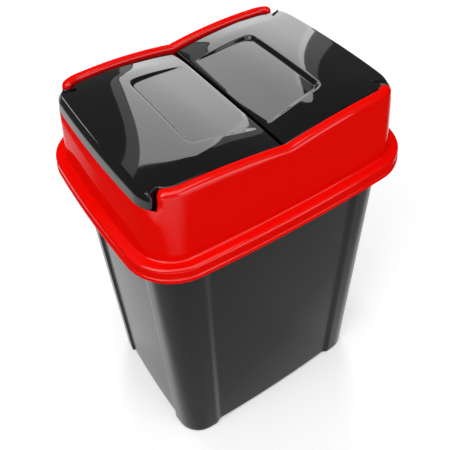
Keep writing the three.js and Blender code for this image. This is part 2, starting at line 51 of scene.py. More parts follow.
# the bin's outline has bowed sides and round corners, and most pieces follow it at some inset
hoodLow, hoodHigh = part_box("hood")
outline = {
    "halfLength": hoodHigh.x,
    "halfWidth": hoodHigh.y,
    "cornerRadius": 66 * mm,
    "endBow": 8 * mm,
    "sideBow": 8.5 * mm,
}


def findArcs():
    a, b = outline["halfLength"], outline["halfWidth"]
    corner = outline["cornerRadius"]
    endRadius = (b * b + outline["endBow"] ** 2) / (2 * outline["endBow"])
    sideRadius = (a * a + outline["sideBow"] ** 2) / (2 * outline["sideBow"])
    endCentre = Vector((a - endRadius, 0))
    sideCentre = Vector((0, b - sideRadius))
    span = endCentre - sideCentre
    toSide, toEnd = sideRadius - corner, endRadius - corner
    along = (toSide ** 2 - toEnd ** 2 + span.length_squared) / (2 * span.length)
    across = math.sqrt(toSide ** 2 - along ** 2)
    unit = span.normalized()
    cornerCentre = sideCentre + unit * along + Vector((unit.y, -unit.x)) * across
    toCorner, overCorner = cornerCentre - endCentre, cornerCentre - sideCentre
    return {
        "end": (endCentre, endRadius),
        "corner": (cornerCentre, corner),
        "side": (sideCentre, sideRadius),
        "endAngle": math.atan2(toCorner.y, toCorner.x),
        "sideAngle": math.atan2(overCorner.y, overCorner.x),
    }


arcs = findArcs()


# arc that a place in the first quarter belongs to
def arcAt(angle):
    if angle < arcs["endAngle"]:
        return arcs["end"]
    return arcs["side"] if angle > arcs["sideAngle"] else arcs["corner"]


# point of the outline, moved in by inset; angle 0 is the middle of the end, 90 degrees the middle of the side
def outlinePoint(angle, inset, z=0):
    centre, radius = arcAt(angle)
    reach = radius - inset
    return Vector((centre.x + reach * math.cos(angle), centre.y + reach * math.sin(angle), z))


# angle on the outline, and inset from it, of a place in the first quarter
def outlinePlace(x, y):
    for centre, radius in (arcs["corner"], arcs["end"], arcs["side"]):
        away = Vector((x, y)) - centre
        angle = math.atan2(away.y, away.x)
        if arcAt(angle) == (centre, radius):
            return angle, radius - away.length
    return angle, radius - away.length


def sideAngleAt(x, inset):
    return math.acos(x / (arcs["side"][1] - inset))


def endAngleAt(y, inset):
    return math.asin(y / (arcs["end"][1] - inset))


# how far out the long side is at x, moved in by inset
def sideAt(x, inset):
    centre, radius = arcs["side"]
    return centre.y + math.sqrt((radius - inset) ** 2 - x ** 2)


def smooth(value, low, high):
    t = min(max((value - low) / (high - low), 0), 1)
    return t * t * (3 - 2 * t)


# steps places from start towards end, without the end itself
def spread(start, end, steps):
    return [start + (end - start) * i / steps for i in range(steps)]


def ring(count):
    return [2 * math.pi * k / count for k in range(count)]


# circle in an upright plane along the bin
def circle(x, y, z, radius, count):
    return [Vector((x + radius * math.cos(t), y, z + radius * math.sin(t))) for t in ring(count)]


def deselect():
    bpy.ops.object.select_all(action="DESELECT")


def editMesh(piece):
    deselect()
    bpy.context.view_layer.objects.active = piece
    piece.select_set(True)
    bpy.ops.object.mode_set(mode="EDIT")


def leaveEdit():
    bpy.ops.object.mode_set(mode="OBJECT")


# selects the vertices, edges or faces that pass a test, in edit mode
def pick(piece, test, kind="VERT", enter=False):
    if enter:
        editMesh(piece)
    bpy.ops.mesh.select_mode(type=kind)
    bpy.ops.mesh.select_all(action="DESELECT")
    mesh = bmesh.from_edit_mesh(piece.data)
    items = {"VERT": mesh.verts, "EDGE": mesh.edges, "FACE": mesh.faces}[kind]
    for item in items:
        if test(item):
            item.select_set(True)
    mesh.select_flush_mode()
    bmesh.update_edit_mesh(piece.data)


# a chain of edges through points, drawn by extruding one vertex
def drawLine(name, points):
    deselect()
    bpy.ops.mesh.primitive_plane_add(size=10 * mm, location=(0, 0, 0))
    piece = bpy.context.object
    piece.name = piece.data.name = name
    editMesh(piece)
    bpy.ops.mesh.select_mode(type="VERT")
    bpy.ops.mesh.merge(type="CENTER")
    bpy.ops.transform.translate(value=points[0])
    extrudeAlong(points)
    return piece


# goes on from the selected vertex, which is at points[0]
def extrudeAlong(points):
    for here, there in zip(points, points[1:]):
        bpy.ops.mesh.extrude_region_move(TRANSFORM_OT_translate={"value": tuple(there - here)})


# a skin through chains of equally many points: draws the first, then extrudes it to each of the next
def loftLoops(name, loops, closed=False):
    piece = drawLine(name, loops[0])
    if closed:
        pick(piece, lambda v: len(v.link_edges) == 1)
        bpy.ops.mesh.edge_face_add()
    bpy.ops.mesh.select_all(action="SELECT")
    for here, there in zip(loops, loops[1:]):
        places = KDTree(len(here))
        for k, point in enumerate(here):
            places.insert(point, k)
        places.balance()
        bpy.ops.mesh.extrude_region_move()
        mesh = bmesh.from_edit_mesh(piece.data)
        for vertex in mesh.verts:
            if vertex.select:
                vertex.co = there[places.find(vertex.co)[1]]
        bmesh.update_edit_mesh(piece.data)
    leaveEdit()
    return piece


def joinPieces(parts):
    deselect()
    for part in parts:
        part.select_set(True)
    bpy.context.view_layer.objects.active = parts[0]
    bpy.ops.object.join()


# sweeps what is selected round one of the outline's arcs
def sweepArc(arc, start, end, steps):
    centre = arcs[arc][0]
    bpy.ops.mesh.spin(steps=steps, angle=start - end, center=(centre.x, centre.y, 0), axis=(0, 0, 1))


def addModifier(piece, kind, **values):
    bpy.context.view_layer.objects.active = piece
    modifier = piece.modifiers.new(kind.title(), kind)
    for key, value in values.items():
        setattr(modifier, key, value)
    bpy.ops.object.modifier_apply(modifier=modifier.name)


# gives a skin a wall that lies inside it; even keeps the wall's thickness round bends
def thicken(piece, wall, even=True):
    values = {"use_even_offset": True, "thickness_clamp": 1.5} if even else {}
    addModifier(piece, "SOLIDIFY", thickness=wall, offset=-1, **values)


def recalculate(piece):
    editMesh(piece)
    bpy.ops.mesh.select_all(action="SELECT")
    bpy.ops.mesh.remove_doubles(threshold=tight)
    bpy.ops.mesh.normals_make_consistent(inside=False)
    leaveEdit()


# turns a skin's faces outwards, told by those that pass a test and should face away from the middle
def faceOut(piece, test, middle=0):
    total = 0
    for face in piece.data.polygons:
        if test(face.center):
            total += face.normal.dot(Vector((face.center.x - middle, face.center.y, 0)))
    if total < 0:
        piece.data.flip_normals()


def shadeSmooth(piece, degrees):
    deselect()
    piece.select_set(True)
    bpy.context.view_layer.objects.active = piece
    bpy.ops.object.shade_smooth_by_angle(angle=math.radians(degrees))


# points of an arc in a section; inset grows inwards, degrees run from inwards (0) to up (90)
def sectionArc(inset, z, radius, start, end, steps):
    turns = [math.radians(start + (end - start) * i / steps) for i in range(steps + 1)]
    return [(inset + radius * math.cos(turn), z + radius * math.sin(turn)) for turn in turns]


def atEnd(section):
    return [Vector((outline["halfLength"] - inset, 0, z)) for inset, z in section]


def finishPiece(piece, body, node, material):
    piece.data.materials.clear()
    piece.data.materials.append(material)
    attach(piece, body)
    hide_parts(node)


hood = {
    "wall": 2.5 * mm,
    "flangeDepth": 20 * mm,
    "flangeEdge": 0.6 * mm,
    "edgeBevel": 0.6 * mm,
    "beadHeight": 6 * mm,
    "beadProud": 1.5 * mm,
    "ledgeWidth": 15.5 * mm,
    "ledgeRounding": 4 * mm,
    "wallFillet": 2.5 * mm,
    "endRise": 70 * mm,
    "lean": 0.102,
    "ridgeWidth": 13 * mm,
    "ridgeRounding": 7 * mm,
    "ridgeInnerRounding": 4.2 * mm,
    "wallEndSetback": 40 * mm,
    "wallEndRounding": 8 * mm,
    "wallEndDip": 6 * mm,
    "wallEndSqueeze": 5 * mm,
    "wallEndInnerSqueeze": 3 * mm,
    "wallEndBlend": 6 * mm,
    "crestSetback": 80 * mm,
    "valleyDip": 10 * mm,
    "lipLap": 5 * mm,
    "socketRadius": 8.5 * mm,
    "socketBore": 4.3 * mm,
    "socketDepth": 7.3 * mm,
    "socketGap": 1.2 * mm,
    "socketEdge": 0.5 * mm,
    "socketSink": 1 * mm,
}
ledge = hoodLow.z + hood["flangeDepth"]
crest = hoodHigh.z
endTop = ledge + hood["endRise"]


def wallInset(z):
    return hood["ledgeWidth"] + (z - ledge) * hood["lean"]


def crestAt(x):
    share = min(abs(x) / (outline["halfLength"] - hood["crestSetback"]), 1)
    return crest - hood["valleyDip"] * (1 - share) ** 2


ridgeInset = wallInset(crest) + hood["ridgeWidth"]
wallEnd = math.acos(
    (outline["halfLength"] - hood["wallEndSetback"] - arcs["corner"][0].x)
    / (arcs["corner"][1] - wallInset(crest))
)


def makeHoodShell():
    bead = hoodLow.z + hood["beadHeight"]
    proud, rounding, fillet = hood["beadProud"], hood["ledgeRounding"], hood["wallFillet"]
    edge = hood["flangeEdge"]
    lower = [
        (edge, hoodLow.z),
        (0, hoodLow.z + edge),
        *sectionArc(proud, bead - proud, proud, 180, 90, 4),
        *sectionArc(proud + rounding, ledge - rounding, rounding, 180, 90, 8),
        *sectionArc(hood["ledgeWidth"] - fillet, ledge + fillet, fillet, 270, 360, 6),
        *((wallInset(z), z) for z in (ledge + hood["endRise"] * share for share in (0.3, 0.7))),
        (wallInset(endTop), endTop),
    ]
    piece = drawLine("hood_shell", atEnd(lower))
    bpy.ops.mesh.select_all(action="SELECT")
    sweepArc("end", 0, arcs["endAngle"], 24)
    sweepArc("corner", arcs["endAngle"], wallEnd, 22)
    # the long wall goes on up from the end wall's last column, over the ridge and down its inner lip
    outer, inner = hood["ridgeRounding"], hood["ridgeInnerRounding"]
    lipBottom = flapEdge(outline["halfLength"]) - hood["lipLap"]
    rows = (0, 1.5, 3, 5, 8, 11)
    upper = [
        *((wallInset(endTop + row * mm), endTop + row * mm) for row in rows),
        *sectionArc(wallInset(crest - outer) + outer, crest - outer, outer, 180, 90, 9),
        *sectionArc(ridgeInset - inner, crest - inner, inner, 90, 0, 6),
        (ridgeInset, lipBottom),
    ]
    column = [outlinePoint(wallEnd, inset, z) for inset, z in upper]
    pick(piece, lambda v: (v.co - column[0]).length < 0.05 * mm)
    extrudeAlong(column)
    centre = arcs["corner"][0]
    radial = Vector((math.cos(wallEnd), math.sin(wallEnd)))

    def atWallEnd(v):
        return abs(radial.cross(v.co.xy - centre)) < touch and v.co.y > centre.y

    pick(piece, atWallEnd)
    turn = hood["wallEndRounding"] / (arcs["corner"][1] - ridgeInset)
    turns = [wallEnd + turn * (1 - math.cos(math.pi / 2 * k / 9)) for k in range(10)]
    for start, end in zip(turns, turns[1:]):
        sweepArc("corner", start, end, 1)
    sweepArc("corner", turns[-1], arcs["sideAngle"], 12)
    sweepArc("side", arcs["sideAngle"], math.pi / 2, 30)
    # closes the wall's end down to the rim
    foot = outlinePoint(wallEnd, ridgeInset, endTop)
    pick(piece, lambda v: (v.co - column[-1]).length < touch)
    extrudeAlong([column[-1], foot])
    pick(piece, lambda v: atWallEnd(v) and v.co.z > endTop - 1 * mm)
    bpy.ops.mesh.edge_face_add()
    leaveEdit()
    for vertex in piece.data.vertices:
        shapeWall(vertex)
    addModifier(piece, "MIRROR", use_axis=(True, True, False), merge_threshold=touch)
    recalculate(piece)
    faceOut(piece, lambda p: p.z < ledge - 6 * mm)
    thicken(piece, hood["wall"])
    sharp = {"limit_method": "ANGLE", "angle_limit": math.radians(55)}
    addModifier(piece, "BEVEL", width=hood["edgeBevel"], segments=2, **sharp)
    joinPieces([piece, makeSockets()])
    shadeSmooth(piece, 35)
    return piece


# blind sockets for the flaps' trunnions, inside the long walls
def makeSockets():
    x, z = outline["halfLength"] - flap["pivotSetback"], endTop - flap["seatGap"]
    face = sideAt(x, ridgeInset + flap["sideGap"] - hood["socketGap"])
    wall = sideAt(x, wallInset(z) + hood["wall"] - hood["socketSink"])
    outer, bore, edge = hood["socketRadius"], hood["socketBore"], hood["socketEdge"]
    deep = face + hood["socketDepth"]
    profile = [
        (outer, wall),
        (outer, face + edge),
        (outer - edge, face),
        (bore + edge, face),
        (bore, face + edge),
        (bore, deep),
        (bore * 0.5, deep),
    ]
    sockets = loftLoops("sockets", [circle(x, y, z, radius, 40) for radius, y in profile], True)
    closeEnds(sockets)
    addModifier(sockets, "MIRROR", use_axis=(True, True, False), merge_threshold=0.001 * mm)
    return sockets


# rounds the end of the long wall and bends its top down to the valley
def shapeWall(vertex):
    lipBottom = flapEdge(outline["halfLength"]) - hood["lipLap"]
    x, y, z = vertex.co
    if z < endTop + 0.1 * mm and outlinePlace(x, y)[1] < ridgeInset - 1 * mm:
        if z > ledge + 1 * mm and x < outline["halfLength"] - hood["crestSetback"]:
            vertex.co.z = ledge + (z - ledge) * (crestAt(x) - ledge) / (crest - ledge)
        return
    angle, inset = outlinePlace(x, y)
    along = (angle - wallEnd) * (arcs["corner"][1] - (ridgeInset + wallInset(crest)) / 2)
    radius = hood["wallEndRounding"]
    short = max(radius - along, 0)
    bulge = (radius - math.sqrt(max(radius ** 2 - short ** 2, 0))) / radius
    bulge *= smooth(z, endTop, endTop + hood["wallEndBlend"])
    if short > 0 and angle < arcs["sideAngle"]:
        across = (inset - wallInset(z)) / hood["ridgeWidth"]
        outward = hood["wallEndSqueeze"] * (1 - across) - hood["wallEndInnerSqueeze"] * across
        vertex.co = outlinePoint(angle, inset + outward * bulge, z)
        vertex.co.z -= hood["wallEndDip"] * bulge * smooth(z, endTop, crest)
    if x < outline["halfLength"] - hood["crestSetback"]:
        if inset > ridgeInset - 0.1 * mm and z < lipBottom + 1 * mm:
            vertex.co.z = flapEdge(x) - hood["lipLap"]
        else:
            vertex.co.z = ledge + (z - ledge) * (crestAt(x) - ledge) / (crest - ledge)


body = {
    "height": 464 * mm,
    "inset": 24.4 * mm,
    "draft": 3 * mm,
    "wall": 2.4 * mm,
    "footHeight": 3.5 * mm,
    "footWidth": 29 * mm,
    "footRounding": 6 * mm,
    "footSlope": 2 * mm,
    "footRows": (12 * mm, 24 * mm, 40 * mm),
    "footBlend": 40 * mm,
    "lipInset": 4.3 * mm,
    "lipDepth": 10 * mm,
    "lipRounding": 1.2 * mm,
    "rimRounding": 3 * mm,
    "neckDepth": 13 * mm,
    "neckRise": 3 * mm,
    "postFade": 6 * mm,
    "postProud": 3.4 * mm,
    "postWidthEnd": 79.5 * mm,
    "postWidthSide": 78 * mm,
    "endStep": 3 * mm,
    "sideStep": 13 * mm,
}


def bodyAngles():
    inset = body["inset"]
    postEnd = outline["halfWidth"] - body["postWidthEnd"]
    postSide = outline["halfLength"] - body["postWidthSide"]
    marks = [
        (0, 8),
        (endAngleAt(postEnd - body["endStep"], inset), 8),
        (endAngleAt(postEnd, inset), 3),
        (arcs["endAngle"], 18),
        (arcs["sideAngle"], 4),
        (sideAngleAt(postSide, inset), 12),
        (sideAngleAt(postSide - body["sideStep"], inset), 14),
        (math.pi / 2, 0),
    ]
    angles = []
    for (start, steps), following in zip(marks, marks[1:]):
        angles += spread(start, following[0], steps)
    return [*angles, math.pi / 2]


# 1 on a corner post, 0 on a side panel
def postShare(angle):
    place = outlinePoint(angle, body["inset"])
    postEnd = outline["halfWidth"] - body["postWidthEnd"]
    postSide = outline["halfLength"] - body["postWidthSide"]
    if angle < arcs["endAngle"]:
        return smooth(place.y, postEnd - body["endStep"], postEnd)
    if angle > arcs["sideAngle"]:
        return smooth(place.x, postSide - body["sideStep"], postSide)
    return 1


def makeBodyShell():
    angles = bodyAngles()
    panels = [1 - postShare(angle) for angle in angles]
    neck = body["height"] - body["neckDepth"]
    rounding = body["footRounding"]

    def skin(z):
        return body["inset"] + body["draft"] * (1 - z / neck)

    # posted is the share of the posts' relief, lift raises the loop between the feet
    def loop(inset, z, posted=1, lift=0):
        return [
            outlinePoint(angle, inset + body["postProud"] * panel * posted, z + lift * panel)
            for angle, panel in zip(angles, panels)
        ]

    base, foot, blend = skin(0), body["footHeight"], body["footBlend"]
    footInner = base + rounding + body["footWidth"]
    fade, rim = neck - body["postFade"], body["rimRounding"]
    lip, edge, top = body["lipInset"], body["lipRounding"], body["height"]
    heel = sectionArc(base + rounding, rounding, rounding, 270, 180, 6)
    rimHollow = sectionArc(skin(neck) - rim, top - edge - rim, rim, 0, 90, 3)
    lipRound = sectionArc(lip + edge, top - edge, edge, 90, 180, 3)
    loops = [
        loop(footInner + body["footSlope"], foot, 0),
        loop(footInner, 0, 0, foot),
        *(loop(inset, z, 1, foot) for inset, z in heel),
        *(loop(skin(z), z, 1, foot * (1 - z / blend)) for z in body["footRows"]),
        *(loop(skin(z), z) for z in spread(neck * 0.16, fade, 8)),
        loop(skin(fade), fade, 1),
        loop(skin(neck), neck, 0.4),
        loop(skin(neck), neck + body["neckRise"], 0),
        *(loop(inset, z, 0) for inset, z in rimHollow),
        *(loop(inset, z, 0) for inset, z in lipRound),
        loop(lip, top - body["lipDepth"], 0),
    ]
    piece = loftLoops("body_shell", loops)
    addModifier(piece, "MIRROR", use_axis=(True, True, False), merge_threshold=touch)

    def roundTheFloor(v):
        inset = outlinePlace(abs(v.co.x), abs(v.co.y))[1]
        return abs(v.co.z - foot) < tight and inset > footInner + 1.5 * mm

    pick(piece, roundTheFloor, enter=True)
    bpy.ops.mesh.edge_face_add()
    leaveEdit()
    recalculate(piece)
    faceOut(piece, lambda p: 0.1 < p.z < 0.4)
    thicken(piece, body["wall"])
    shadeSmooth(piece, 35)
    return piece


flap = {
    "wall": 2 * mm,
    "middleGap": 4.4 * mm,
    "sideGap": 1.8 * mm,
    "earGap": 4.2 * mm,
    "valleyDrop": 6.2 * mm,
    "shoulderDrop": 3.6 * mm,
    "shoulderSetback": 70 * mm,
    "endDrop": 3.2 * mm,
    "endSlope": 0.06,
    "endCrown": 2.6 * mm,
    "crownTop": 1.6 * mm,
    "crownFall": 16.6 * mm,
    "crownBend": 0.45,
    "crownShare": 0.55,
    "crownStrip": 26 * mm,
    "stripBlend": 5 * mm,
    "crownSetback": 100 * mm,
    "sideFlange": 14.8 * mm,
    "edgeRounding": 2.5 * mm,
    "recessSetback": 108 * mm,
    "recessMarginInner": 76.5 * mm,
    "recessMarginOuter": 85.5 * mm,
    "recessDepth": 4.8 * mm,
    "recessStart": 8 * mm,
    "recessCorner": 13 * mm,
    "stepWidth": 5 * mm,
    "trunnionRadius": 4 * mm,
    "trunnionLength": 9 * mm,
    "trunnionSink": 1.5 * mm,
    "trunnionBevel": 0.6 * mm,
    "pivotSetback": 118 * mm,
    "earHollow": 3 * mm,
    "earRound": 6 * mm,
    "endRounding": 7 * mm,
    "endChamfer": 6.8 * mm,
    "gapRounding": 0.8 * mm,
    "seatGap": 0.3 * mm,
}


# height of a flap's side edge
def flapEdge(x):
    share = min(abs(x) / (outline["halfLength"] - flap["shoulderSetback"]), 1)
    valley = crest - hood["valleyDip"] - flap["valleyDrop"]
    shoulder = crest - flap["shoulderDrop"]
    return shoulder - (shoulder - valley) * (1 - share) ** 2


flapInset = ridgeInset + flap["sideGap"]
earTurn = wallEnd - flap["earGap"] / (arcs["corner"][1] - wallInset(crest))
flapBottom = crest - hood["valleyDip"] - flap["valleyDrop"] - flap["sideFlange"]
gapSide = flap["middleGap"] / 2
recessReach = outline["halfLength"] - flap["recessSetback"]


# height of a flap's top along its middle: up from the gap, over the plateau, then down and flatter to the end
def middleTop(x):
    start = outline["halfLength"] - flap["crownSetback"]
    span = outline["halfLength"] - wallInset(crest) - start
    if x <= start:
        straight, share = flap["crownBend"], x / start
        fall = (1 - share) ** 2 if share > straight else (1 - straight) * (1 + straight - 2 * share)
        return crest + flap["crownTop"] - flap["crownFall"] * fall / (1 - straight ** 2)
    u = (x - start) / span
    fall = (3 * u ** 2 - 2 * u ** 3) * (flap["crownTop"] + flap["endDrop"])
    return crest + flap["crownTop"] - fall - (u ** 3 - u ** 2) * flap["endSlope"] * span


# height of a flap's top surface, with a gentle crown and a slope along each side
def flapTop(x, y):
    start = outline["halfLength"] - flap["crownSetback"]
    inner = min(x, start)
    drop = middleTop(inner) - flapEdge(inner)
    drop += (flap["endCrown"] - drop) * smooth(x, start, outline["halfLength"] - wallInset(crest))
    side = sideAt(x, flapInset)
    strip, blend = flap["crownStrip"], flap["stripBlend"]
    past = abs(y) - side + strip
    slope = (past + math.hypot(past, blend)) / (strip + math.hypot(strip, blend))
    share = flap["crownShare"] * (y / side) ** 2 + (1 - flap["crownShare"]) * slope
    return middleTop(x) - drop * share


# how many points each stretch of a flap's outline has
pathCounts = {"side": 24, "shoulder": 10, "hollow": 5, "ear": 4, "round": 7, "corner": 12, "end": 32}


# half of a flap's outline, from the gap past the ear to the middle of the end; moved in by edge
def flapPath(z, sideEdge, endEdge):
    counts = pathCounts
    outer = wallInset(z) + endEdge
    inner = flapInset + sideEdge
    hollow, rounding = flap["earHollow"] + sideEdge, flap["earRound"] - endEdge

    def local(along, inset):
        return outlinePoint(earTurn + along / (arcs["corner"][1] - inset), inset)

    hollowAt, hollowIn = flap["earHollow"], flapInset - flap["earHollow"]
    roundAt, roundIn = -flap["earRound"], wallInset(z) + flap["earRound"]
    sideEnd = earTurn + hollowAt / (arcs["corner"][1] - inner)
    sideMark = sideAngleAt(outline["halfLength"] / 2, inner)
    points = [outlinePoint(a, inner) for a in spread(sideAngleAt(gapSide, inner), sideMark, counts["side"])]
    points += [outlinePoint(a, inner) for a in spread(sideMark, sideEnd, counts["shoulder"])]
    for turn in spread(0, math.pi / 2, counts["hollow"]):
        points.append(local(hollowAt - hollow * math.sin(turn), hollowIn + hollow * math.cos(turn)))
    start, end = hollowAt - hollow, roundAt + rounding
    for share in spread(0, 1, counts["ear"]):
        points.append(local(start + (end - start) * share, hollowIn + (roundIn - hollowIn) * share))
    for turn in spread(0, math.pi / 2, counts["round"]):
        points.append(local(roundAt + rounding * math.cos(turn), roundIn - rounding * math.sin(turn)))
    cornerStart = earTurn + roundAt / (arcs["corner"][1] - outer)
    points += [outlinePoint(a, outer) for a in spread(cornerStart, arcs["endAngle"], counts["corner"])]
    points += [outlinePoint(a, outer) for a in spread(arcs["endAngle"], 0, counts["end"])]
    return [*points, outlinePoint(0, outer)]


# half of the push recess's outline, with as many points; moved out by grow
def recessPath(grow):
    counts = pathCounts
    inner = Vector((gapSide, outline["halfWidth"] - flap["recessMarginInner"] + grow))
    outer = Vector((recessReach + grow, outline["halfWidth"] - flap["recessMarginOuter"] + grow))
    radius = flap["recessCorner"] + grow
    start = outer + (inner - outer).normalized() * radius
    end = outer - Vector((0, radius))
    cornerCount = sum(counts[key] for key in ("shoulder", "hollow", "ear", "round", "corner"))
    points = [inner.lerp(start, share) for share in spread(0, 1, counts["side"])]
    points += [start.lerp(outer, t).lerp(outer.lerp(end, t), t) for t in spread(0, 1, cornerCount)]
    points += [end.lerp(Vector((end.x, 0)), share) for share in spread(0, 1, counts["end"])]
    return [*points, Vector((end.x, 0))]


def recessDrop(x):
    return max(flap["recessDepth"] * (x - flap["recessStart"]) / (recessReach - flap["recessStart"]), 0)


def makeFlapShell():
    endTopEdge = crest - flap["endDrop"]
    counts = pathCounts
    total = sum(counts.values()) + 1
    sideCount = counts["side"] + counts["shoulder"]
    # 0 on the side between the long walls, 1 round the outer end
    outers = [smooth(k, sideCount - 1, sideCount + counts["hollow"] + counts["ear"]) for k in range(total)]

    # a loop at the flap's edge: how far in, and how far below the top surface, at the side and at the end
    def edgeLoop(sideIn, sideDown, endIn, endDown):
        flat = flapPath(endTopEdge, sideIn, endIn)
        return [
            Vector((p.x, p.y, flapTop(p.x, p.y) - sideDown + (sideDown - endDown) * outer))
            for p, outer in zip(flat, outers)
        ]

    def skirtLoop(share):
        low = [flapBottom + (endTop + flap["seatGap"] - flapBottom) * outer for outer in outers]
        lean = flapPath(endTop, 0, 0)
        points = []
        for top, lower, z in zip(edgeLoop(0, flap["edgeRounding"], 0, flap["endRounding"]), lean, low):
            points.append(Vector((lower.x, lower.y, z)).lerp(top, share))
        return points

    side, end = flap["edgeRounding"], flap["endRounding"]
    # how far in and down at the side, a rounding, and at the end, a flat bevel between two small roundings
    steps = [
        (0, side, 0, end),
        (0.06 * side, 0.62 * side, 0.25 * mm, end - 0.9 * mm),
        (0.29 * side, 0.29 * side, 0.9 * mm, end - 1.8 * mm),
        (0.62 * side, 0.06 * side, 4.2 * mm, 1.3 * mm),
        (0.8 * side, 0.015 * side, 4.9 * mm, 0.6 * mm),
        (side, 0, 5.6 * mm, 0.2 * mm),
        (1.5 * side, 0, flap["endChamfer"], 0),
    ]
    loops = [skirtLoop(share) for share in (0, 0.3, 0.6, 0.85)]
    loops += [edgeLoop(*step) for step in steps]
    start, recess = loops[-1], recessPath(0)
    surfaceSteps = 26
    for k in range(1, surfaceSteps + 1):
        flat = [Vector((p.x, p.y)).lerp(q, k / surfaceSteps) for p, q in zip(start, recess)]
        loops.append([Vector((p.x, p.y, flapTop(p.x, p.y))) for p in flat])
    stepCount = 8
    for k in range(1, stepCount + 1):
        flat = recessPath(-flap["stepWidth"] * k / stepCount)
        share = smooth(k, 0, stepCount)
        loops.append([Vector((p.x, p.y, flapTop(p.x, p.y) - recessDrop(p.x) * share)) for p in flat])
    piece = loftLoops("flap_shell_right", loops)
    joinPieces([piece, makeRecessFloor()])
    editMesh(piece)
    bpy.ops.mesh.select_all(action="SELECT")
    bpy.ops.mesh.remove_doubles(threshold=tight)

    def alongGap(edge):
        first, second = edge.verts[0].co, edge.verts[1].co
        atGap = abs(first.x - gapSide) < tight and abs(second.x - gapSide) < tight
        return atGap and abs(first.y - second.y) > 0.1 * mm

    # the wall that hangs down along the middle gap
    pick(piece, lambda e: e.is_boundary and alongGap(e), "EDGE")
    bpy.ops.mesh.extrude_region_move()
    for vertex in bmesh.from_edit_mesh(piece.data).verts:
        if vertex.select:
            vertex.co.z = flapBottom
    pick(piece, lambda e: not e.is_boundary and alongGap(e), "EDGE")
    bpy.ops.mesh.bevel(offset=flap["gapRounding"], segments=3, affect="EDGES")
    leaveEdit()
    addModifier(piece, "MIRROR", use_axis=(False, True, False), merge_threshold=touch)
    return piece


# rows of points from the side edge of the recess's floor to its middle, blended from the four edges
def makeRecessFloor():
    path = recessPath(-flap["stepWidth"])
    middle = len(path) // 2
    side, end = path[:middle + 1], path[middle:]
    columns, rows = len(side) - 1, len(end) - 1
    centre = [Vector((side[0].x + (end[-1].x - side[0].x) * i / columns, 0)) for i in range(columns + 1)]
    loops = []
    for j in range(rows + 1):
        v = j / rows
        loop = []
        for i in range(columns + 1):
            u = i / columns
            gap = side[0].lerp(centre[0], v)
            corners = side[0].lerp(side[-1], u).lerp(centre[0].lerp(centre[-1], u), v)
            p = side[i].lerp(centre[i], v) + gap.lerp(end[j], u) - corners
            loop.append(Vector((p.x, p.y, flapTop(p.x, p.y) - recessDrop(p.x))))
        loops.append(loop)
    return loftLoops("recess_floor", loops)


# short round pins that turn in the hood's sockets
def addTrunnions(piece, sign):
    x = outline["halfLength"] - flap["pivotSetback"]
    y = sideAt(x, flapInset) + flap["trunnionLength"] / 2 - flap["trunnionSink"]
    parts = [piece]
    for sy in (1, -1):
        bpy.ops.mesh.primitive_cylinder_add(
            radius=flap["trunnionRadius"],
            depth=flap["trunnionLength"],
            vertices=32,
            location=(sign * x, sy * y, endTop - flap["seatGap"]),
            rotation=(math.pi / 2, 0, 0),
        )
        trunnion = bpy.context.object
        bpy.ops.object.transform_apply(location=True, rotation=True, scale=True)
        addModifier(trunnion, "BEVEL", width=flap["trunnionBevel"], segments=2, limit_method="ANGLE")
        parts.append(trunnion)
    joinPieces(parts)


def makeFlaps():
    right = makeFlapShell()
    for piece, sign, side in ((right, 1, "right"), (mirrorCopy(right), -1, "left")):
        recalculate(piece)
        if sum(face.normal.z * face.area for face in piece.data.polygons) < 0:
            piece.data.flip_normals()
        thicken(piece, flap["wall"], False)
        addTrunnions(piece, sign)
        shadeSmooth(piece, 40)
        finishPiece(piece, "flap_" + side, "flap_" + side, materials["flap"])


# the pieces inside: each is made on the right and copied to the left
bucketLow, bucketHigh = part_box("bucket_right")
bailLow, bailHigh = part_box("bail_right")
gripLow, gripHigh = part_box("grip_right")
bucket = {
    "rimDrop": 36 * mm,
    "lip": 3.5 * mm,
    "lipDepth": 5 * mm,
    "draft": 7 * mm,
    "corner": 35.6 * mm,
    "wall": 1.9 * mm,
    "baseRounding": 6 * mm,
    "shoulderDrop": 30 * mm,
    "shoulder": 1.2 * mm,
    "shoulderHeight": 2 * mm,
    "panelInset": 12 * mm,
    "panelEdge": 10 * mm,
    "panelRise": 1.2 * mm,
    "earRadius": 10 * mm,
    "earThickness": 3 * mm,
    "earEdge": 0.5 * mm,
    "earSink": 1 * mm,
    "holeRadius": 2.3 * mm,
}
bucketMiddle = (bucketLow.x + bucketHigh.x) / 2
bailHeight = (bailLow.z + bailHigh.z) / 2


# rounded rectangle, all round
def roundedLoop(halfX, halfY, radius, z):
    points = []
    for quarter, (sx, sy) in enumerate(((1, 1), (-1, 1), (-1, -1), (1, -1))):
        for step in range(11):
            turn = (quarter + step / 10) * math.pi / 2
            x = sx * (halfX - radius) + radius * math.cos(turn)
            y = sy * (halfY - radius) + radius * math.sin(turn)
            points.append(Vector((bucketMiddle + x, y, z)))
    return points


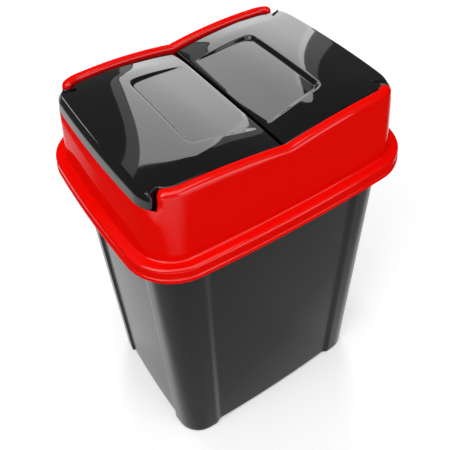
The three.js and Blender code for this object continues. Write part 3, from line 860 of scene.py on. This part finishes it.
def makeBucketShell():
    top = body["height"] - bucket["rimDrop"]
    base, lip, edge = bucketLow.z, bucket["lip"], bucket["baseRounding"]
    halfX = (bucketHigh.x - bucketLow.x) / 2 - lip
    halfY = bucketHigh.y - lip

    def loop(grow, z):
        size = grow - bucket["draft"] * (1 - (z - base) / (top - base))
        return roundedLoop(halfX + size, halfY + size, bucket["corner"] + size, z)

    shoulder = top - bucket["shoulderDrop"]
    profile = [
        (-edge - bucket["panelInset"], base + bucket["panelRise"]),
        (-edge - bucket["panelEdge"], base),
        (-edge, base),
    ]
    profile += [(-inset, z) for inset, z in sectionArc(edge, base + edge, edge, 270, 180, 5)[1:]]
    profile += [(0, z) for z in spread(base + 30 * mm, shoulder, 5)]
    profile.append((-bucket["shoulder"] * 0.1, shoulder))
    profile.append((bucket["shoulder"], shoulder + bucket["shoulderHeight"]))
    # the sheet's thickness lies inside the wall, but above and outside the rolled rim
    under, out = top - bucket["wall"], lip - bucket["wall"]
    profile += [(bucket["shoulder"] * 0.6, under - 2 * mm), (bucket["shoulder"] * 0.7, under)]
    profile += [(out - 0.2 * mm, under), (out, under - 0.4 * mm), (out, top - bucket["lipDepth"])]
    piece = loftLoops("bucket_shell_right", [loop(grow, z) for grow, z in profile], True)
    pick(piece, lambda e: e.is_boundary and e.verts[0].co.z < base + 2 * mm, "EDGE", True)
    bpy.ops.mesh.edge_face_add()
    leaveEdit()
    recalculate(piece)
    faceOut(piece, lambda p: abs(p.z - shoulder + 40 * mm) < 30 * mm, bucketMiddle)
    thicken(piece, bucket["wall"])
    joinPieces([piece, makeEar(1), makeEar(-1)])
    shadeSmooth(piece, 35)
    return piece


# upright plate with a round top and a hole, on the bucket's rim
def makeEar(sy):
    radius, sink, edge = bucket["earRadius"], bucket["earSink"], bucket["earEdge"]
    foot = bailHeight - body["height"] + bucket["rimDrop"] + sink
    outside = bucketHigh.y - bucket["lip"] + sink
    count = 40

    def plate(y, shrink=0):
        points = []
        for turn in ring(count):
            x, z = math.cos(turn), math.sin(turn)
            if z < 0:
                reach = min((radius - shrink) / max(abs(x), 0.001), foot / abs(z))
            else:
                reach = radius - shrink
            points.append(Vector((bucketMiddle + x * reach, y, bailHeight + z * reach)))
        return points

    def hole(y):
        return circle(bucketMiddle, y, bailHeight, bucket["holeRadius"], count)

    y0, y1, step = sy * outside, sy * (outside - bucket["earThickness"]), sy * edge
    loops = [hole(y1), plate(y1, edge), plate(y1 + step), plate(y0 - step), plate(y0, edge), hole(y0)]
    piece = loftLoops("ear", loops, True)
    pick(piece, lambda e: e.is_boundary, "EDGE", True)
    bpy.ops.mesh.bridge_edge_loops()
    leaveEdit()
    recalculate(piece)
    return piece


# skin round a path in a level plane
def makeRod(name, path, radius, count):
    loops = []
    for k, place in enumerate(path):
        along = path[min(k + 1, len(path) - 1)] - path[max(k - 1, 0)]
        across = Vector((-along.y, along.x, 0)).normalized()
        loop = []
        for turn in ring(count):
            loop.append(place + across * radius * math.cos(turn) + Vector((0, 0, radius * math.sin(turn))))
        loops.append(loop)
    piece = loftLoops(name, loops, True)
    closeEnds(piece)
    return piece


def closeEnds(piece):
    pick(piece, lambda e: e.is_boundary, "EDGE", True)
    bpy.ops.mesh.edge_face_add()
    leaveEdit()
    recalculate(piece)


def arcPoints(centre, radius, start, end, steps):
    turns = [math.radians(start + (end - start) * k / steps) for k in range(steps + 1)]
    return [centre + Vector((radius * math.cos(t), radius * math.sin(t), 0)) for t in turns]


bail = {
    "wireRadius": 1.9 * mm,
    "bend": 9 * mm,
    "hookBend": 3 * mm,
    "hookLength": 9 * mm,
}


# one wire from the hook in one ear, round the bail and back to the other
def makeBail():
    bend, hook = bail["bend"], bail["hookBend"]
    x0, x1 = bucketMiddle, bailHigh.x - (bailHigh.z - bailLow.z) / 2
    y1 = bailHigh.y - (bailHigh.z - bailLow.z) / 2
    z = bailHeight
    half = [Vector((x0, y1 - bail["hookLength"], z))]
    half += arcPoints(Vector((x0 + hook, y1 - hook, z)), hook, 180, 90, 6)
    half += arcPoints(Vector((x1 - bend, y1 - bend, z)), bend, 90, 0, 8)
    mirrored = [Vector((p.x, -p.y, p.z)) for p in reversed(half)]
    piece = makeRod("bail_wire_right", half + mirrored, bail["wireRadius"], 16)
    shadeSmooth(piece, 50)
    return piece


grip = {
    "bore": 2.3 * mm,
    "collar": 8 * mm,
    "ribPitch": 6.5 * mm,
    "ribDepth": 0.9 * mm,
    "endRounding": 1.4 * mm,
    "endEdge": 0.4 * mm,
    "groove": ((0, 0), (0.18, 0.75), (0.5, 1), (0.82, 0.75)),  # share of the pitch, share of the depth
}


# ribbed sleeve round the wire
def makeGripSleeve():
    x, z = (gripLow.x + gripHigh.x) / 2, (gripLow.z + gripHigh.z) / 2
    outer, half = (gripHigh.z - gripLow.z) / 2, gripHigh.y
    rounding, edge = grip["endRounding"], grip["endEdge"]
    profile = [
        (grip["bore"], -half),
        (outer - rounding, -half),
        (outer - edge, -half + edge),
        (outer, -half + rounding),
    ]
    ribbed = half - grip["collar"]
    count = int(ribbed * 2 / grip["ribPitch"])
    pitch = ribbed * 2 / count
    for k in range(count):
        y = -half + grip["collar"] + k * pitch
        profile += [(outer - grip["ribDepth"] * depth, y + pitch * share) for share, depth in grip["groove"]]
    profile += [(outer, ribbed)]
    profile += [(radius, -y) for radius, y in reversed(profile[:4])]
    piece = loftLoops("grip_sleeve_right", [circle(x, y, z, radius, 32) for radius, y in profile], True)
    pick(piece, lambda e: e.is_boundary, "EDGE", True)
    bpy.ops.mesh.bridge_edge_loops()
    leaveEdit()
    recalculate(piece)
    shadeSmooth(piece, 40)
    return piece


# the same piece on the left, with its own mesh
def mirrorCopy(piece):
    copy = piece.copy()
    copy.data = piece.data.copy()
    bpy.context.collection.objects.link(copy)
    copy.name = copy.data.name = piece.name.replace("right", "left")
    editMesh(copy)
    bpy.ops.mesh.select_all(action="SELECT")
    bpy.ops.transform.resize(value=(-1, 1, 1), center_override=(0, 0, 0))
    bpy.ops.mesh.normals_make_consistent(inside=False)
    leaveEdit()
    return copy


def makeInside():
    makers = {"bucket": makeBucketShell, "bail": makeBail, "grip": makeGripSleeve}
    for node, make in makers.items():
        right = make()
        carrier = "bail" if node == "grip" else node
        for piece, side in ((right, "right"), (mirrorCopy(right), "left")):
            finishPiece(piece, carrier + "_" + side, node + "_" + side, materials[node])
        print(node, "made")


def newMaterial(name):
    material = bpy.data.materials.new(name)
    material.use_nodes = True
    tree = material.node_tree
    return material, tree, tree.nodes["Principled BSDF"]


def newGroup(name, inputs, outputs):
    tree = bpy.data.node_groups.new(name, "ShaderNodeTree")
    for label, kind, value in inputs:
        socket = tree.interface.new_socket(name=label, in_out="INPUT", socket_type=kind)
        socket.default_value = value
    for label, kind in outputs:
        tree.interface.new_socket(name=label, in_out="OUTPUT", socket_type=kind)
    return tree, tree.nodes.new("NodeGroupInput"), tree.nodes.new("NodeGroupOutput")


def addMath(tree, operation, first, second, third=None):
    node = tree.nodes.new("ShaderNodeMath")
    node.operation = operation
    for socket, value in zip(node.inputs, (first, second, third)):
        if isinstance(value, (int, float)):
            socket.default_value = value
        elif value is not None:
            tree.links.new(value, socket)
    return node.outputs["Value"]


# fine grain and wide cloudy patches: outputs colour, roughness and a height for a bump
def makeGrain():
    inputs = (("Color", "NodeSocketColor", (1, 1, 1, 1)), ("Roughness", "NodeSocketFloat", 0.3),
              ("Grain Scale", "NodeSocketFloat", 900), ("Stretch", "NodeSocketVector", (1, 1, 1)),
              ("Grain", "NodeSocketFloat", 0.1), ("Clouds", "NodeSocketFloat", 0.1))
    outputs = (("Color", "NodeSocketColor"), ("Roughness", "NodeSocketFloat"), ("Height", "NodeSocketFloat"))
    tree, entry, leaving = newGroup("moulded_grain", inputs, outputs)
    coordinate = tree.nodes.new("ShaderNodeTexCoord")
    stretch = tree.nodes.new("ShaderNodeMapping")
    tree.links.new(coordinate.outputs["Object"], stretch.inputs["Vector"])
    tree.links.new(entry.outputs["Stretch"], stretch.inputs["Scale"])
    fine, clouds = tree.nodes.new("ShaderNodeTexNoise"), tree.nodes.new("ShaderNodeTexNoise")
    fine.inputs["Detail"].default_value = 2
    tree.links.new(stretch.outputs["Vector"], fine.inputs["Vector"])
    tree.links.new(entry.outputs["Grain Scale"], fine.inputs["Scale"])
    clouds.inputs["Scale"].default_value = 14
    clouds.inputs["Detail"].default_value = 4
    tree.links.new(coordinate.outputs["Object"], clouds.inputs["Vector"])

    def centred(noise, amount):
        return addMath(tree, "MULTIPLY", addMath(tree, "SUBTRACT", noise.outputs["Fac"], 0.5), amount)

    grain, cloudy = centred(fine, entry.outputs["Grain"]), centred(clouds, entry.outputs["Clouds"])
    change = addMath(tree, "ADD", addMath(tree, "ADD", grain, cloudy), 1)
    tree.links.new(addMath(tree, "MULTIPLY", entry.outputs["Roughness"], change), leaving.inputs["Roughness"])
    tint = tree.nodes.new("ShaderNodeVectorMath")
    tint.operation = "SCALE"
    tree.links.new(entry.outputs["Color"], tint.inputs[0])
    tree.links.new(addMath(tree, "MULTIPLY_ADD", grain, 0.3, 1), tint.inputs["Scale"])
    tree.links.new(tint.outputs["Vector"], leaving.inputs["Color"])
    tree.links.new(fine.outputs["Fac"], leaving.inputs["Height"])
    return tree


grainGroup = makeGrain()


# a moulded or drawn surface; bump is the depth of its grain
def surface(name, colour, roughness, bump, groupValues, **values):
    material, tree, shader = newMaterial(name)
    group = tree.nodes.new("ShaderNodeGroup")
    group.node_tree = grainGroup
    group.inputs["Color"].default_value = (*colour, 1)
    group.inputs["Roughness"].default_value = roughness
    for key, value in groupValues.items():
        group.inputs[key].default_value = value
    tree.links.new(group.outputs["Color"], shader.inputs["Base Color"])
    tree.links.new(group.outputs["Roughness"], shader.inputs["Roughness"])
    if bump:
        relief = tree.nodes.new("ShaderNodeBump")
        relief.inputs["Distance"].default_value = bump
        relief.inputs["Strength"].default_value = 0.5
        tree.links.new(group.outputs["Height"], relief.inputs["Height"])
        tree.links.new(relief.outputs["Normal"], shader.inputs["Normal"])
    for key, value in values.items():
        shader.inputs[key].default_value = value
    return material


# coat by the angle of sight: stops of how far the surface turns away, and the coat there
def coatBySight(material, stops):
    tree = material.node_tree
    sight = tree.nodes.new("ShaderNodeLayerWeight")
    sight.inputs["Blend"].default_value = 0.5
    ramp = tree.nodes.new("ShaderNodeValToRGB")
    elements = ramp.color_ramp.elements
    for k, (place, value) in enumerate(stops):
        element = elements[k] if k < 2 else elements.new(place)
        element.position = place
        element.color = (value, value, value, 1)
    tree.links.new(sight.outputs["Facing"], ramp.inputs["Fac"])
    tree.links.new(ramp.outputs["Color"], tree.nodes["Principled BSDF"].inputs["Coat Weight"])


materials = {
    "body": surface("body_satin", (0.012, 0.012, 0.0125), 0.3, 0.03 * mm, {"Grain Scale": 1400, "Grain": 0.6},
                    **{"Specular IOR Level": 0.0, "Coat Roughness": 0.12}),
    "hood": surface("hood_gloss", (0.85, 0.003, 0.001), 0.3, 0, {"Grain": 0.2},
                    **{"Specular IOR Level": 0.0, "Coat Roughness": 0.05}),
    "flap": surface("flap_gloss", (0.004, 0.004, 0.0045), 0.035, 0, {"Grain": 0.1, "Clouds": 0.8}),
    "bucket": surface("bucket_satin", (0.15, 0.155, 0.16), 0.45, 0.04 * mm,
                      {"Grain Scale": 1100, "Grain": 0.5}),
    "bail": surface("bail_steel", (0.55, 0.56, 0.57), 0.26, 0.01 * mm,
                    {"Grain Scale": 1500, "Stretch": (1, 0.04, 1), "Grain": 0.9}, Metallic=1.0),
    "grip": surface("grip_satin", (0.01, 0.01, 0.011), 0.5, 0.04 * mm, {"Grain Scale": 1600, "Grain": 0.6}),
}
coatBySight(materials["body"], ((0.3, 0.5), (0.75, 0.7), (0.4, 0.3), (0.6, 0.3)))
coatBySight(materials["hood"], ((0.18, 1), (0.85, 0.6), (0.29, 0.02), (0.72, 0.02)))

finishPiece(makeHoodShell(), "hood", "hood", materials["hood"])
print("hood made")
finishPiece(makeBodyShell(), "body", "bin_body", materials["body"])
print("body made")
makeFlaps()
print("flaps made")
makeInside()


stage = {
    "floorSize": 12,
    "floorGlow": 0.3,
    "worldLight": 0.18,
}


# white floor that glows to the camera and in reflections, and lights nothing else
def makeFloorMaterial():
    material, tree, shader = newMaterial("floor_pale")
    shader.inputs["Base Color"].default_value = (0.9, 0.9, 0.9, 1)
    shader.inputs["Roughness"].default_value = 1
    shader.inputs["Specular IOR Level"].default_value = 0
    shader.inputs["Emission Color"].default_value = (1, 1, 1, 1)
    rays = tree.nodes.new("ShaderNodeLightPath").outputs
    seen = addMath(tree, "MAXIMUM", rays["Is Camera Ray"], rays["Is Glossy Ray"])
    seen = addMath(tree, "MAXIMUM", seen, rays["Is Transmission Ray"])
    glow = addMath(tree, "MULTIPLY", seen, stage["floorGlow"])
    tree.links.new(glow, shader.inputs["Emission Strength"])
    return material


deselect()
bpy.ops.mesh.primitive_plane_add(size=stage["floorSize"], location=(0, 0, 0))
floor = bpy.context.object
floor.name = "floor"
floor.data.materials.append(makeFloorMaterial())

# the photo's camera, solved from its edges; focal length and centre are in its pixels
camera = {
    "pictureSize": 450,
    "focal": 598.2,
    "azimuth": -31.78,
    "elevation": 47.57,
    "distance": 975.67 * mm,
    "target": Vector((22.26 * mm, 48.21 * mm, 250.85 * mm)),
    "roll": -2.72,
    "centre": (224.53, 225.05),
}


def placeCamera():
    a, e, r = (math.radians(camera[key]) for key in ("azimuth", "elevation", "roll"))
    back = Vector((math.sin(a) * math.cos(e), -math.cos(a) * math.cos(e), math.sin(e)))
    right = (-back).cross(Vector((0, 0, 1))).normalized()
    up = right.cross(-back)
    turnedRight = right * math.cos(r) + up * math.sin(r)
    turnedUp = up * math.cos(r) - right * math.sin(r)
    place = camera["target"] + back * camera["distance"]
    size, centre = camera["pictureSize"], camera["centre"]
    data = bpy.data.cameras.new("photo_camera")
    data.sensor_width = 36
    data.lens = camera["focal"] / size * data.sensor_width
    data.shift_x = (size / 2 - centre[0]) / size
    data.shift_y = (centre[1] - size / 2) / size
    data.clip_start = 0.05
    data.clip_end = 60
    piece = bpy.data.objects.new("photo_camera", data)
    bpy.context.scene.collection.objects.link(piece)
    piece.matrix_world = Matrix((
        (turnedRight.x, turnedUp.x, back.x, place.x),
        (turnedRight.y, turnedUp.y, back.y, place.y),
        (turnedRight.z, turnedUp.z, back.z, place.z),
        (0, 0, 0, 1),
    ))
    bpy.context.scene.camera = piece
    return piece


cameraPiece = placeCamera()


# rectangular lamp; roll turns it about its own line of sight, in degrees
def softLight(name, place, target, size, power, roll=0):
    data = bpy.data.lights.new(name, "AREA")
    data.shape = "RECTANGLE"
    data.size, data.size_y = size
    data.energy = power
    piece = bpy.data.objects.new(name, data)
    bpy.context.scene.collection.objects.link(piece)
    piece.location = place
    turn = (Vector(place) - Vector(target)).to_track_quat("Z", "Y")
    piece.rotation_euler = (turn @ Quaternion((0, 0, 1), math.radians(roll))).to_euler()
    return piece


lights = [
    softLight("back_light", (1.27, 2.15, 2.2), (0, 0, 2.2), (1.2, 2.7), 37, -12),
    softLight("left_light", (-1.9, -0.5, 2.5), (0, 0, 0.3), (1.6, 1.6), 32),
    softLight("front_light", (0.9, -2.6, 1.5), (0, 0, 0.4), (2, 1.6), 20),
    softLight("top_light", (-0.3, -0.7, 3.4), (0, 0, 0), (2.4, 2.4), 36),
    softLight("back_strip", (0.66, 2.47, 2.2), (0, 0, 2.2), (0.13, 2.7), 0.8, -12),
    softLight("side_strip", (1.96, 1.78, 1.7), (0, 0, 1.7), (0.2, 2.4), 0.9, -12),
    softLight("rim_strip", (-0.8, 2.5, 1.9), (0, 0, 1.9), (0.5, 1.4), 14),
]
world = bpy.data.worlds.new("studio")
bpy.context.scene.world = world
world.use_nodes = True
background = world.node_tree.nodes["Background"]
background.inputs["Color"].default_value = (1, 1, 1, 1)
background.inputs["Strength"].default_value = stage["worldLight"]

bpy.context.scene.view_settings.view_transform = "Standard"

bpy.context.view_layer.update()
